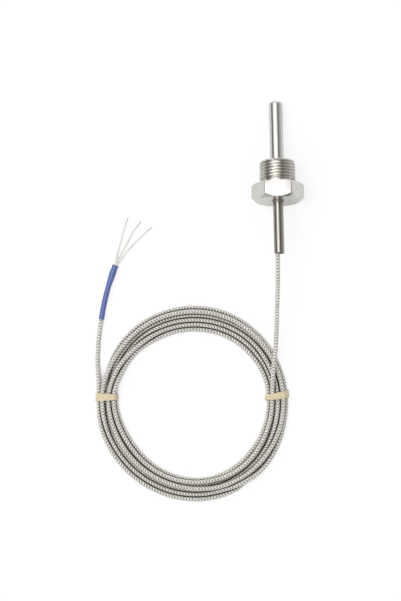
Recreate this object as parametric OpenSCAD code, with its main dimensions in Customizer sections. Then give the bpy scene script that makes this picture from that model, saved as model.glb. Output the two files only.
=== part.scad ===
// Resistance temperature probe with a threaded process fitting and a braided lead cable.
// Millimetres. The probe lies on its tip and on the front edge of its hexagon, with its cable
// coiled beside it. +Z is up, +Y runs towards the tip, and Z = 0 is the surface it lies on.
// The origin is the middle of the probe's own box, at its base. The probe's pieces are drawn
// upright about its axis, with height 0 at the hexagon's front face, and then laid down.

/* [Sheath] */
// Outer diameter of the sheath tube
sheath_d = 8; // [6:0.5:9]
// Wall thickness of the sheath tube
sheath_wall = 0.7; // [0.4:0.1:0.8]
// Length from the hexagon's front face to the tip
insertion = 50; // [42:1:80]
// Radius that rounds the edge of the closed tip
tip_round = 1.5; // [1:0.1:2.5]
// Thickness of the closed tip
tip_wall = 1; // [0.5:0.1:2]
// Depth of the sheath's seat in the threaded boss
sheath_seat = 12; // [8:0.5:13]

/* [Process fitting] */
// Major diameter of the parallel pipe thread
thread_d = 20.955; // [16:0.001:26]
// Minor diameter of the thread, also the diameter of the relief groove behind it
thread_minor_d = 18.631; // [13:0.001:23]
// Length of the threaded boss
thread_len = 14; // [13:0.5:20]
// Height of the chamfer where the thread starts
thread_chamfer = 1.1; // [0.5:0.1:2]
// Width of the relief groove between thread and hexagon
relief_w = 2.1; // [1:0.1:3]
// Hexagon across flats
hex_af = 27; // [24:0.5:34]
// Thickness of the hexagon
hex_len = 10; // [8:0.5:14]
// Angle of the chamfer on the hexagon's cable side, measured from its face
rear_chamfer_angle = 42; // [20:1:45]
// Angle of the chamfer on the hexagon's thread side, measured from its face
front_chamfer_angle = 30; // [15:1:45]
// Diameter of the passage between the two seats
passage_d = 5; // [4.5:0.1:5.5]

/* [Stem] */
// Outer diameter of the stem tube
stem_d = 6; // [5.6:0.1:7.5]
// Wall thickness of the stem tube
stem_wall = 0.5; // [0.3:0.05:0.6]
// Length of the stem that shows behind the hexagon
stem_len = 31; // [24:1:38]
// Depth of the stem's seat in the hexagon
stem_seat = 5; // [3:0.5:6]
// Radius of the two weld beads
weld_r = 0.7; // [0.4:0.1:1]

/* [Sensing element] */
// Diameter of the wound platinum element
element_d = 2.8; // [2:0.1:3]
// Length of the element
element_len = 15; // [8:1:16]
// Diameter of each element lead
element_lead_d = 0.3; // [0.2:0.05:0.5]
// Half the distance between the two element leads
lead_offset = 0.85; // [0.8:0.05:0.9]
// Length of the crimp splices
splice_len = 5; // [3:0.5:6]
// Wall thickness of the insulating sleeve over the splices
splice_sleeve_wall = 0.3; // [0.2:0.05:0.4]

/* [Cable] */
// Outer diameter of the braided cable
cable_d = 2.8; // [2.2:0.1:3.4]
// Outer diameter of each insulated wire
wire_d = 1; // [0.7:0.05:1]
// Diameter of each bare wire tip
wire_tip_d = 0.5; // [0.3:0.05:0.6]
// Length of each bare wire tip
wire_tip_len = 4; // [2:0.5:8]
// Length of cable held inside the stem
cable_grip = 10; // [6:0.5:12]
// Radius of the coil, to the middle of its turns
coil_r = 50.2; // [46:0.1:54]
// Strands that lie side by side across the coil
coil_strands = 4.5; // [4:0.25:5]

/* [End sleeve] */
// Length of the shrink sleeve on the cable's end
sleeve_len = 33; // [28:1:40]
// Wall thickness of the shrink sleeve
sleeve_wall = 0.2; // [0.15:0.01:0.4]
// Bend radius of the sleeve as it lies
sleeve_bend_r = 140; // [100:5:300]
// Length of cable inside the sleeve
sleeve_cover = 22; // [15:1:24]

/* [Rubber bands] */
// Width of each band
band_w = 4.4; // [3:0.2:5]
// Thickness of each band
band_t = 0.9; // [0.6:0.1:1.5]

/* [Hidden] */
$fn = 96;

steel = [0.77, 0.77, 0.76];
braid_grey = [0.68, 0.68, 0.66];
wire_white = [0.86, 0.85, 0.80];
tinned = [0.62, 0.60, 0.57];
band_cream = [0.88, 0.82, 0.67];

// Clearances
weld_gap = 0.05;   // round a tube in its seat
fill_gap = 0.03;   // round what is packed or potted
cable_gap = 0.1;   // between the cable and the stem's bore
sleeve_gap = 0.06; // between the cable and the shrink sleeve
strand_gap = 0.3;  // beside the tail where it leaves the coil
wire_gap = 0.02;   // between neighbouring wires
crimp_wall = 0.25; // of the crimps round the bare conductors
crimp_gap = 0.15;  // between the crimps and their sleeve
past = 1;          // how far a solid runs past a face that it cuts or joins

// Distances along the probe's axis
element_set_back = 1;  // from the closed tip to the element
lead_run = 5;          // length of the element's leads
fill_run = 4;          // of powder behind the splices
potting_run = 3;       // of potting past the cable's end
sleeve_past_splice = 1;

// Heights along the probe's axis
boss_top = thread_len;
sheath_foot = boss_top - sheath_seat;
bore_end = insertion - tip_wall;
element_top = bore_end - element_set_back;
element_foot = element_top - element_len;
splice_top = element_foot - lead_run;
splice_foot = splice_top - splice_len;
fill_foot = splice_foot - fill_run;
stem_top = stem_seat - hex_len;
stem_end = -hex_len - stem_len;
cable_top = stem_end + cable_grip;
potting_top = cable_top + potting_run;
potting_recess = 0.4;

// Radii and offsets
sheath_r = sheath_d / 2;
sheath_bore_r = sheath_r - sheath_wall;
bore_round = max(tip_round - sheath_wall, 0.2);
stem_r = stem_d / 2;
stem_bore_r = stem_r - stem_wall;
cable_r = cable_d / 2;
wire_r = wire_d / 2;
wire_ring_r = wire_d / sqrt(3) + wire_gap;
cable_offset = stem_bore_r - cable_r - cable_gap;
hex_corner_r = hex_af / 2 / cos(30);
rear_turned_in = 0.4;    // from the flats to the rear face's edge
front_turned_out = 0.7;  // from the flats to the front face's edge
rear_face_r = hex_af / 2 - rear_turned_in;
front_face_r = hex_af / 2 + front_turned_out;
single_crimp_d = wire_tip_d + 2 * crimp_wall;
double_crimp_d = 2 * wire_tip_d + 2 * crimp_wall;
splice_bore_r = lead_offset + double_crimp_d / 2 + crimp_gap;

// How the probe lies: the line under the hexagon's front edge and the round of the tip
edge_drop = hex_af / 2 - (sheath_r - tip_round);
edge_run = insertion - tip_round;
lie_angle = atan(edge_drop / edge_run) - asin(tip_round / norm([edge_drop, edge_run]));
tip_reach = edge_run * cos(lie_angle) + (sheath_r - tip_round) * sin(lie_angle) + tip_round;
stem_reach = -stem_end * cos(lie_angle) + stem_r * sin(lie_angle);
front_y = (stem_reach - tip_reach) / 2;
front_z = hex_af / 2 * cos(lie_angle);
axis_up = [0, -cos(lie_angle), sin(lie_angle)];
stem_mouth = [-cable_offset, front_y, front_z] - stem_end * axis_up;

// The coil
coil_centre = [-52.4, -132, 0];
coil_w = coil_strands * cable_d;
coil_h = cable_d * (1 + sin(60));
coil_top = band_t + coil_h;
coil_corner = 0.42; // corner radius of the coil's section, as a share of its height
band_left_angle = 174.4;
band_right_angle = 4.2;

// The cable's flat-sided tubes
tube_sides = 8;
flat = cos(180 / tube_sides);
lead_rest_z = coil_top + cable_r * flat;

// The lead, from the stem's mouth to where it lies on the coil
lead_route = [
    stem_mouth,
    stem_mouth + 4 * axis_up,
    stem_mouth + [-0.1, -10, 1.1],
    [-1.2, -61.5, 21],
    [-1.4, -68, 19],
    [-1.7, -75, 16.2],
    [-1.9, -82, 13.3],
    [-2.1, -88, 11],
    [-2.4, -94, 9.1],
    [-2.8, -100, 8],
    [-3.4, -105, lead_rest_z],
    [-4.1, -108.5, lead_rest_z],
    [-4.9, -112, lead_rest_z],
];

// The tail, from the coil to the sleeve. It comes out level, from the strands on the band.
tail_start_z = band_t + cable_r;
tail_free = [
    [-107.3, -124, tail_start_z],
    [-107.6, -118, tail_start_z],
    [-107.9, -112, 1.8],
    [-108, -106, 1.5],
    [-107.7, -100, 1.4],
    [-107.2, -94, 1.4],
    [-106.4, -88, 1.5],
];
tail_dir = unit(tail_free[1] - tail_free[0]);

// The sleeve's arc
sleeve_r = cable_r + sleeve_gap + sleeve_wall;
sleeve_start = [-105.3, -81.5, sleeve_r];
sleeve_heading = 9;
sleeve_sweep = sleeve_len / sleeve_bend_r * 180 / PI;
sleeve_centre = sleeve_start + sleeve_bend_r * [cos(sleeve_heading), -sin(sleeve_heading), 0];
tail_route = concat(tail_free, [for (s = [0:4]) sleeve_point(s * sleeve_cover / 4)]);

// Each wire's free run on the surface, after its run inside the sleeve
wire_angles = [180, 60, -60];
wire_z = wire_r;
wire_free = [
    [
        [-96.2, -47.1, 1.6], [-95.3, -42.5, 0.8], [-93.9, -38.5, wire_z], [-92.7, -34, wire_z],
        [-91.4, -29.5, wire_z], [-89.8, -25.2, wire_z],
    ],
    [
        [-94.5, -45.6, 2.1], [-92.1, -41.5, 1.1], [-89.6, -37, wire_z], [-87.3, -33, wire_z],
        [-85.2, -29.3, wire_z], [-83.3, -27, wire_z],
    ],
    [
        [-92.9, -46.5, 1.5], [-90, -42.4, 0.8], [-86.7, -38.6, wire_z], [-83.3, -35.2, wire_z],
        [-80, -32.2, wire_z], [-77.4, -30, wire_z],
    ],
];

function unit(v) = v / norm(v);

// A point of the sleeve's centreline at a distance from its start, and its direction there
function sleeve_bearing(s) = sleeve_heading + s / sleeve_bend_r * 180 / PI;
function sleeve_point(s) =
    sleeve_centre - sleeve_bend_r * [cos(sleeve_bearing(s)), -sin(sleeve_bearing(s)), 0];
function sleeve_dir(s) = [sin(sleeve_bearing(s)), cos(sleeve_bearing(s)), 0];
function sleeve_side(s) = [cos(sleeve_bearing(s)), -sin(sleeve_bearing(s)), 0];

// A wire inside the sleeve keeps its place in the cable's bundle of three
function bundled(i, s) =
    sleeve_point(s) + wire_ring_r * (cos(wire_angles[i]) * sleeve_side(s)
        + sin(wire_angles[i]) * [0, 0, 1]);
function wire_route(i) = concat(
    [for (s = [sleeve_cover, (sleeve_cover + sleeve_len) / 2, sleeve_len]) bundled(i, s)],
    wire_free[i]
);

// A smooth curve through points p, with the same number of steps in every span
function clamped(p, i) = p[max(0, min(len(p) - 1, i))];
function curve_point(p, i, t) =
    let (a = clamped(p, i - 1), b = clamped(p, i), c = clamped(p, i + 1), d = clamped(p, i + 2))
    (2 * b + (c - a) * t + (2 * a - 5 * b + 4 * c - d) * t ^ 2
        + (3 * b - a - 3 * c + d) * t ^ 3) / 2;
function smooth(p, steps) = concat(
    [for (i = [0:len(p) - 2]) for (k = [0:steps - 1]) curve_point(p, i, k / steps)],
    [p[len(p) - 1]]
);

// The directions that a swept tube's rings face: first and last are given, the rest follow p
function ring_dirs(p, first, last) = [
    for (i = [0:len(p) - 1])
        i == 0 ? first : i == len(p) - 1 ? last : unit(p[i + 1] - p[i - 1])
];

// Corners of a ring about c that faces dir, with one flat side down
function ring(c, dir, r) =
    let (side = unit(cross(dir, [0, 0, 1])), up = cross(side, dir))
    [
        for (k = [0:tube_sides - 1])
            let (a = (k + 0.5) * 360 / tube_sides)
            c + r * (cos(a) * side + sin(a) * up)
    ];

// A flat-sided tube of radius r that follows points p and ends square to first and last
module swept_tube(p, r, first, last) {
    dirs = ring_dirs(p, first, last);
    n = tube_sides;
    last_ring = (len(p) - 1) * n;
    sides = [
        for (i = [0:len(p) - 2])
            for (k = [0:n - 1])
                let (a = i * n + k, b = i * n + (k + 1) % n)
                for (face = [[a, b, b + n], [a, b + n, a + n]]) face
    ];
    start_cap = [for (k = [n - 1:-1:0]) k];
    end_cap = [for (k = [0:n - 1]) last_ring + k];
    polyhedron(
        points = [for (i = [0:len(p) - 1]) each ring(p[i], dirs[i], r)],
        faces = concat(sides, [start_cap, end_cap])
    );
}

// Lays the upright probe down on its tip and on its hexagon's front edge
module laid() {
    translate([0, front_y, front_z])
        rotate([-90 - lie_angle, 0, 0])
            children();
}

// A round rod of diameter d from a to b
module rod(a, b, d) {
    v = b - a;
    translate(a)
        rotate([0, acos(v.z / norm(v)), atan2(v.y, v.x)])
            cylinder(h = norm(v), d = d);
}

// A disc of radius r from height a to height b
module disc(r, a, b) {
    translate([0, 0, a])
        cylinder(h = b - a, r = r);
}

// Outline, from the axis outwards, of a round rod whose end at height top is rounded
module rounded_outline(r, foot, top, round) {
    translate([0, foot])
        square([r - round, top - foot]);
    translate([0, foot])
        square([r, top - round - foot]);
    translate([r - round, top - round])
        circle(round);
}

// A rectangle w wide and h high with round corners, about its middle
module rounded_block(w, h, round) {
    square([w, h - 2 * round], center = true);
    square([w - 2 * round, h], center = true);
    for (x = [-1, 1])
        for (y = [-1, 1])
            translate([x * (w / 2 - round), y * (h / 2 - round)])
                circle(round);
}

// Outline of the coil's section, grown by extra on every side
module coil_outline(extra) {
    translate([coil_r, band_t + coil_h / 2])
        rounded_block(coil_w + 2 * extra, coil_h + 2 * extra, coil_corner * coil_h + extra);
}

// A quarter-round weld bead round a tube of radius r, on a face at height z
module weld_bead(r, z) {
    rotate_extrude()
        translate([r, z])
            intersection() {
                circle(weld_r);
                translate([0, -weld_r])
                    square([weld_r, 2 * weld_r]);
            }
}

module sheath_outline() {
    rounded_outline(sheath_r, sheath_foot, insertion, tip_round);
}

module sheath_bore_outline(foot) {
    rounded_outline(sheath_bore_r, foot, bore_end, bore_round);
}

module sheath_tube() {
    color(steel)
        laid()
            rotate_extrude()
                difference() {
                    sheath_outline();
                    sheath_bore_outline(sheath_foot - past);
                }
}

module sheath_weld() {
    color(steel)
        laid()
            difference() {
                weld_bead(sheath_r, boss_top);
                disc(sheath_r + weld_r + past, boss_top - weld_r - past, boss_top);
            }
}

// The threaded boss, without its thread's grooves: relief groove, plain length and chamfered start
module boss() {
    r = thread_d / 2;
    disc(thread_minor_d / 2, -past, relief_w + past);
    disc(r, relief_w, boss_top - thread_chamfer);
    translate([0, 0, boss_top - thread_chamfer])
        cylinder(h = thread_chamfer, r1 = r, r2 = r - thread_chamfer);
}

// The hexagon, with its corners turned off at both faces
module hexagon() {
    rear_h = (hex_corner_r + past - rear_face_r) * tan(rear_chamfer_angle);
    front_h = (hex_corner_r + past - front_face_r) * tan(front_chamfer_angle);
    intersection() {
        translate([0, 0, -hex_len])
            cylinder(h = hex_len, r = hex_corner_r, $fn = 6);
        rotate_extrude()
            polygon([
                [0, -hex_len], [rear_face_r, -hex_len], [hex_corner_r + past, rear_h - hex_len],
                [hex_corner_r + past, -front_h], [front_face_r, 0], [0, 0],
            ]);
    }
}

module process_fitting() {
    color(steel)
        laid()
            difference() {
                union() {
                    boss();
                    hexagon();
                }
                disc(sheath_r + weld_gap, sheath_foot, boss_top + past);
                disc(passage_d / 2, -hex_len - past, boss_top);
                disc(stem_r + weld_gap, -hex_len - past, stem_top);
            }
}

module stem_tube() {
    color(steel)
        laid()
            difference() {
                disc(stem_r, stem_end, stem_top);
                disc(stem_bore_r, stem_end - past, stem_top + past);
            }
}

module stem_weld() {
    color(steel)
        laid()
            difference() {
                weld_bead(stem_r, -hex_len);
                disc(stem_r + weld_r + past, -hex_len, -hex_len + weld_r + past);
            }
}

module sensing_element() {
    color("ivory")
        laid()
            disc(element_d / 2, element_foot, element_top);
}

module element_leads() {
    color("gainsboro")
        laid()
            for (x = [-lead_offset, lead_offset])
                translate([x, 0, 0])
                    disc(element_lead_d / 2, splice_top, element_foot);
}

// The crimps: one holds a single wire, the other holds the two wires of the same side
module crimps(extra) {
    translate([-lead_offset, 0, 0])
        disc(single_crimp_d / 2 + extra, splice_foot, splice_top);
    translate([lead_offset, 0, 0])
        disc(double_crimp_d / 2 + extra, splice_foot, splice_top);
}

module splice_crimps() {
    color("goldenrod")
        laid()
            crimps(0);
}

// The space that the sleeve over the splices takes, grown by extra
module splice_sleeve_disc(extra) {
    disc(
        splice_bore_r + splice_sleeve_wall + extra,
        splice_foot - sleeve_past_splice, splice_top + sleeve_past_splice
    );
}

module splice_sleeve() {
    color("whitesmoke")
        laid()
            difference() {
                splice_sleeve_disc(0);
                disc(splice_bore_r, splice_foot - 2 * past, splice_top + 2 * past);
            }
}

// Wire i runs straight from the cable's end to its crimp, grown by extra, between two heights
module inner_wire_rod(i, extra, low, high) {
    from = [
        wire_ring_r * cos(wire_angles[i]) - cable_offset, wire_ring_r * sin(wire_angles[i]), cable_top
    ];
    to = i == 0
        ? [-lead_offset, 0, splice_foot]
        : [lead_offset, (i == 1 ? 1 : -1) * (wire_r + wire_gap), splice_foot];
    heading = unit(to - from);
    intersection() {
        rod(from - 2 * past * heading, to + 2 * past * heading, wire_d + 2 * extra);
        disc(sheath_bore_r, low, high);
    }
}

module inner_wire(i) {
    color(wire_white)
        laid()
            inner_wire_rod(i, 0, cable_top, splice_foot);
}

// Powder packed round the element, its leads, the splices and the ends of the wires
module thermal_fill() {
    color("beige")
        laid()
            difference() {
                rotate_extrude()
                    sheath_bore_outline(fill_foot);
                disc(element_d / 2 + fill_gap, splice_top + past, element_top + fill_gap);
                splice_sleeve_disc(fill_gap);
                for (i = [0:2])
                    inner_wire_rod(i, fill_gap, fill_foot - past, splice_foot);
            }
}

module stem_potting() {
    color("dimgray")
        laid()
            difference() {
                disc(stem_bore_r, stem_end + potting_recess, potting_top);
                translate([-cable_offset, 0, 0])
                    disc(cable_r + fill_gap, stem_end, cable_top);
                for (i = [0:2])
                    inner_wire_rod(i, fill_gap, cable_top - past, potting_top + past);
            }
}

// The length of cable that the stem holds
module cable_entry() {
    color(braid_grey)
        laid()
            translate([-cable_offset, 0, 0])
                disc(cable_r, stem_end, cable_top);
}

module cable_lead() {
    color(braid_grey)
        swept_tube(
            lead_route, cable_r, axis_up,
            unit(lead_route[len(lead_route) - 1] - lead_route[len(lead_route) - 2])
        );
}

// The turns of the coil as one ring, with a slot where the tail leaves it
module cable_coil() {
    slot_side = cable_r + strand_gap;
    color(braid_grey)
        difference() {
            translate(coil_centre)
                rotate_extrude()
                    coil_outline(0);
            translate([tail_free[0].x, tail_free[0].y, 0])
                rotate([0, 0, atan2(tail_dir.y, tail_dir.x) - 90])
                    translate([-coil_w, 0, 0])
                        cube([coil_w + slot_side, coil_r, 2 * coil_top]);
        }
}

module cable_tail() {
    color(braid_grey)
        swept_tube(tail_route, cable_r, tail_dir, sleeve_dir(sleeve_cover));
}

module end_sleeve() {
    color("royalblue")
        translate(sleeve_centre)
            rotate([0, 0, 180 - sleeve_heading - sleeve_sweep])
                rotate_extrude(angle = sleeve_sweep)
                    translate([sleeve_bend_r, 0])
                        difference() {
                            circle(sleeve_r);
                            circle(cable_r + sleeve_gap);
                        }
}

module tail_wire(i) {
    p = smooth(wire_route(i), 2);
    color(wire_white)
        swept_tube(p, wire_r, sleeve_dir(sleeve_cover), wire_end_dir(i));
}

// Where wire i's insulation ends, and the direction it ends in
function wire_end(i) = wire_free[i][len(wire_free[i]) - 1];
function wire_end_dir(i) = unit(wire_end(i) - wire_free[i][len(wire_free[i]) - 2]);

module wire_tip(i) {
    color(tinned)
        rod(wire_end(i), wire_end(i) + wire_tip_len * wire_end_dir(i), wire_tip_d);
}

// A flat band pulled round the coil at an angle about its middle
module rubber_band(angle) {
    color(band_cream)
        translate(coil_centre)
            rotate([0, 0, angle])
                intersection() {
                    rotate_extrude()
                        difference() {
                            coil_outline(band_t);
                            coil_outline(0);
                        }
                    translate([0, -band_w / 2, -past])
                        cube([coil_r + coil_w, band_w, coil_top + band_t + 2 * past]);
                }
}

module inner_wire_1() {
    inner_wire(0);
}

module inner_wire_2() {
    inner_wire(1);
}

module inner_wire_3() {
    inner_wire(2);
}

module tail_wire_1() {
    tail_wire(0);
}

module tail_wire_2() {
    tail_wire(1);
}

module tail_wire_3() {
    tail_wire(2);
}

module wire_tip_1() {
    wire_tip(0);
}

module wire_tip_2() {
    wire_tip(1);
}

module wire_tip_3() {
    wire_tip(2);
}

module rubber_band_left() {
    rubber_band(band_left_angle);
}

module rubber_band_right() {
    rubber_band(band_right_angle);
}

sheath_tube();
sheath_weld();
process_fitting();
stem_tube();
stem_weld();
sensing_element();
element_leads();
splice_crimps();
splice_sleeve();
thermal_fill();
inner_wire_1();
inner_wire_2();
inner_wire_3();
stem_potting();
cable_entry();
cable_lead();
cable_coil();
cable_tail();
end_sleeve();
tail_wire_1();
tail_wire_2();
tail_wire_3();
wire_tip_1();
wire_tip_2();
wire_tip_3();
rubber_band_left();
rubber_band_right();
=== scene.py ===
"""Looks of the RTD probe with its braided lead cable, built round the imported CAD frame.

Sizes are written in millimetres, in the CAD's own frame: +Z up, the probe along +Y, Z = 0 under
it. MM turns them into Blender's metres.
"""

import math

import bpy
import numpy as np
from mathutils import Matrix, Vector, kdtree


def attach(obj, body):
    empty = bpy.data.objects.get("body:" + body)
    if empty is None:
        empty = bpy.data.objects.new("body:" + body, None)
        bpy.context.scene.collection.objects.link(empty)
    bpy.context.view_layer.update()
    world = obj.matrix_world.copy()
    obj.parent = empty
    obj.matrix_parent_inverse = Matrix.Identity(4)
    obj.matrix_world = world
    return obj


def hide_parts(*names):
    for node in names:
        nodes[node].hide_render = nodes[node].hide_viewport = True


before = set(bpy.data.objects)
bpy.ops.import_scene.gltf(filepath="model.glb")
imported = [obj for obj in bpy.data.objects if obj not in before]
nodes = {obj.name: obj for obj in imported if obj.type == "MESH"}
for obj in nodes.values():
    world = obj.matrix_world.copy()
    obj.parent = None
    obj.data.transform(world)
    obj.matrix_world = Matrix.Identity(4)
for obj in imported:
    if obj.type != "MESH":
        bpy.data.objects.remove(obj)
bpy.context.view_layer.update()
MM = 0.001
ROOT = "root"

# -------------------- the probe's own axis
LIE = math.radians(11.0503)                 # how far the probe's axis dips towards its tip
FRONT = np.array([0.0, -4.3826, 13.2497])   # middle of the hexagon's front face
TO_TIP = np.array([0.0, math.cos(LIE), -math.sin(LIE)])
DOWN = np.array([0.0, -math.sin(LIE), -math.cos(LIE)])


def laid(points):
    """Points (x, y, height) about the probe's upright axis, laid down as the CAD lays it."""
    p = np.asarray(points, float)
    return FRONT + p[:, :1] * [1.0, 0, 0] + p[:, 1:2] * DOWN + p[:, 2:3] * TO_TIP


# -------------------- camera
CAM_X, CAM_Y, CAM_Z = -46.55, -71.44, 1613.0
CAM_TURN = math.radians(-1.1)
camera_data = bpy.data.cameras.new("camera")
camera_data.lens = 163.3
camera_data.sensor_width = 36.0
camera_data.clip_start, camera_data.clip_end = 0.05, 20.0
camera = bpy.data.objects.new("camera", camera_data)
camera.location = (CAM_X * MM, CAM_Y * MM, CAM_Z * MM)
camera.rotation_euler = (0, 0, CAM_TURN)
bpy.context.scene.collection.objects.link(camera)
bpy.context.scene.camera = camera
bpy.context.scene.view_settings.view_transform = "Standard"


# -------------------- small helpers
def add_mesh(name, verts, faces):
    """A smooth-shaded piece on the root body, from points in mm."""
    mesh = bpy.data.meshes.new(name)
    mesh.from_pydata((np.asarray(verts, float) * MM).tolist(), [], [list(f) for f in faces])
    mesh.validate()
    mesh.update()
    mesh.polygons.foreach_set("use_smooth", [True] * len(mesh.polygons))
    o = bpy.data.objects.new(name, mesh)
    bpy.context.scene.collection.objects.link(o)
    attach(o, ROOT)
    return o


def point_attribute(o, name, values):
    """A number at each point of o, for its material to read."""
    a = o.data.attributes.new(name, "FLOAT", "POINT")
    a.data.foreach_set("value", np.asarray(values, np.float32).ravel())


def unit(v):
    v = np.asarray(v, float)
    return v / np.linalg.norm(v, axis=-1, keepdims=True)


def along(p):
    """Distance of each point of the polyline p from its start."""
    return np.concatenate([[0], np.cumsum(np.linalg.norm(np.diff(p, axis=0), axis=1))])


def resampled(p, step):
    """Points about step apart along the polyline p, both ends kept."""
    s = along(p)
    n = max(2, int(round(s[-1] / step)) + 1)
    at = np.linspace(0, s[-1], n)
    return np.stack([np.interp(at, s, p[:, k]) for k in range(3)], 1)


def smooth_curve(p, steps):
    """Catmull-Rom curve through points p, with the same number of steps in every span."""
    p = np.asarray(p, float)
    ext = np.vstack([2 * p[0] - p[1], p, 2 * p[-1] - p[-2]])
    t = (np.arange(steps) / steps)[:, None]
    out = []
    for i in range(len(p) - 1):
        a, b, c, d = ext[i:i + 4]
        out.append((2 * b + (c - a) * t + (2 * a - 5 * b + 4 * c - d) * t ** 2
                    + (3 * b - a - 3 * c + d) * t ** 3) / 2)
    return np.vstack(out + [p[-1:]])


def eased(p, first, last, rounds):
    """Draws points first to last of p towards the middle of their neighbours, in place."""
    for _ in range(rounds):
        mid = (p[first - 1:last - 1] + p[first + 1:last + 1]) / 2
        p[first:last] += 0.5 * (mid - p[first:last])


def frames(p):
    """Direction, side and up at each point of a centreline, without twist."""
    t = unit(np.gradient(p, axis=0))
    side = np.zeros_like(t)
    side[0] = unit(np.cross(t[0], [0, 0, 1.0]))
    for i in range(1, len(p)):
        s = side[i - 1] - t[i] * np.dot(side[i - 1], t[i])
        side[i] = s / np.linalg.norm(s)
    return t, side, np.cross(side, t)


def ring_faces(rows, around, closed=False):
    """Quads between one ring of points and the next, and from the last to the first if closed."""
    faces = []
    for i in range(rows if closed else rows - 1):
        j = (i + 1) % rows
        for k in range(around):
            k2 = (k + 1) % around
            faces.append((i * around + k, i * around + k2, j * around + k2, j * around + k))
    return faces


def tube_mesh(p, radius, sides):
    """Points and faces of a closed tube along p. radius is a number or one for each point."""
    _, side, up = frames(p)
    a = (np.arange(sides) * 2 * math.pi / sides)[None, :, None]
    r = np.broadcast_to(np.asarray(radius, float), (len(p),))[:, None, None]
    ring = np.cos(a) * side[:, None, :] + np.sin(a) * up[:, None, :]
    verts = np.vstack([(p[:, None, :] + r * ring).reshape(-1, 3), p[:1], p[-1:]])
    faces = ring_faces(len(p), sides)
    last = (len(p) - 1) * sides
    start_cap, end_cap = len(verts) - 2, len(verts) - 1
    for k in range(sides):
        k2 = (k + 1) % sides
        faces.append((start_cap, k2, k))
        faces.append((end_cap, last + k, last + k2))
    return verts, faces


# -------------------- the cable's centreline
CABLE_D = 2.8
CABLE_R = CABLE_D / 2
LINE_STEP = 0.75                       # between points of the centreline
STEM_END = -41.0                       # height of the stem's mouth on the probe's axis
CABLE_OFFSET = 1.0                     # the cable leans to one side in the stem's bore
TO_CABLE = -TO_TIP
MOUTH = FRONT + STEM_END * TO_TIP + [-CABLE_OFFSET, 0, 0]
LEAD_REST_Z = 7.418                    # where the lead lies on the coil

LEAD_ROUTE = np.array([
    MOUTH - 1.5 * TO_CABLE, MOUTH, MOUTH + 4 * TO_CABLE, MOUTH + [-0.1, -10, 1.1],
    [-1.2, -61.5, 21], [-1.4, -68, 19], [-1.7, -75, 16.2], [-1.9, -82, 13.3], [-2.1, -88, 11],
    [-2.4, -94, 9.1], [-2.8, -100, 8], [-3.4, -105, LEAD_REST_Z], [-4.1, -108.5, LEAD_REST_Z],
    [-4.9, -112, LEAD_REST_Z],
])
TAIL_FREE = np.array([
    [-107.6, -118, 2.3], [-107.9, -112, 1.8], [-108, -106, 1.5], [-107.7, -100, 1.4],
    [-107.2, -94, 1.4], [-106.4, -88, 1.5],
])

# The shrink sleeve lies on a slight bend. SLEEVE_COVER is how far the cable runs into it, and
# SLEEVE_R the height of its middle above the floor.
SLEEVE_LEN, SLEEVE_COVER, SLEEVE_R = 33.0, 22.0, 1.66
SLEEVE_BEND, SLEEVE_HEADING = 140.0, math.radians(9)
SLEEVE_START = np.array([-105.3, -81.5, SLEEVE_R])


def sleeve_side(s):
    """Level direction across the sleeve, s mm from its start."""
    bearing = SLEEVE_HEADING + s / SLEEVE_BEND
    return np.array([math.cos(bearing), -math.sin(bearing), 0])


def sleeve_point(s):
    """Middle of the sleeve, s mm from its start."""
    return SLEEVE_START + SLEEVE_BEND * sleeve_side(0) - SLEEVE_BEND * sleeve_side(s)


# The turns, at stations given as angles that count down as the cable runs clockwise: the radius
# of its centreline in mm, positive where it lies on other turns and negative where it lies low.
COIL_C = np.array([-52.4, -132.0, 0.0])
STATIONS = [5, -10, -35, -60, -75, -90, -120, -150,
            -170, -188, -210, -235, -260, -290, -315, -335]
TURNS = [
    [47.2, 46.9, 47.4, 48.2, 46.9, 46.4, 45.9, 44.8,
     45.9, 47.4, -45.6, -44.5, -43.4, -44.2, -45.2, -45.5],
    [-45.4, -45.2, -44.5, -45.6, -46.5, -46.0, -43.8, -42.4,
     -44.4, -46.2, -48, -48.6, 49.1, 49.8, 51.1, 50.8],
    [50.3, 50.2, 50.4, -51, -52, -52, -50.2, -49.9,
     -51.4, -51.9, -54, -55.1, -55.4, -56.4, -55.8, -54.9],
    [-54.7, -55.1, -56, 55.6, 54.6, 53.5, 51.8, 52.5,
     52.9, 53.2, 53.3, 54, 54.4, 54.3, 53.9, 53.5],
    [53.3, 53.1, 53.3, 52.7, 51.7, 50.6, 48.9, 48.1,
     48.9, 50.2, 48.3, 46.9, -46, -47, -48.1, -48.3],
    [-48.4, -48.6, -48.9, -48.2, -49.2, -49.2, -47, -46.5,
     -47.4, -49.0, -51, -51.2, -51.7, -52.3, -52.6, -52.2],
    [-51.6, -51.9, -53.2, -56.4, -56.4, -55.9, -55.6, -55.4,
     -54.9, -54.7],
]
STEP_DEG = 2.0
START_DEG = 22.0                       # where the lead comes down on the turns
END_DEG = 172 - 7 * 360.0              # where the tail leaves them
LEAD_IN = [(START_DEG, 51.5, 2.2), (15, 48.8, 1.4)]    # before the stations: degrees, radius, level
TAIL_OUT_R = 55.5                      # radius at which the tail leaves
LEVEL_RISE = 2.35                      # how far above the low ones these strands start
BLUR_STEPS = 13                        # the stations' corners are rounded over so many steps

BAND_LEFT, BAND_RIGHT = 174.4, 4.2     # the rubber bands' places, in degrees
BAND_T = 0.9                           # how far they lift the strands over them
BAND_FLAT, BAND_FADE = 3, 16           # degrees of full lift, and over which it fades

SETTLE_ROUNDS, CALM_FROM, EASE_UNTIL = 900, 700, 880
SINK = 0.02                            # how far the strands fall in a round
PULL = 0.03                            # share of the way back to their radius
PUSH = 0.9                             # share of an overlap that is undone
SPARE = 0.02                           # room between two strands
EASE, CALM_EASE = 0.5, 0.15            # share of the way to the middle of the neighbours
AWAY = 1e3                             # where the last turn's unused places are kept


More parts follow.
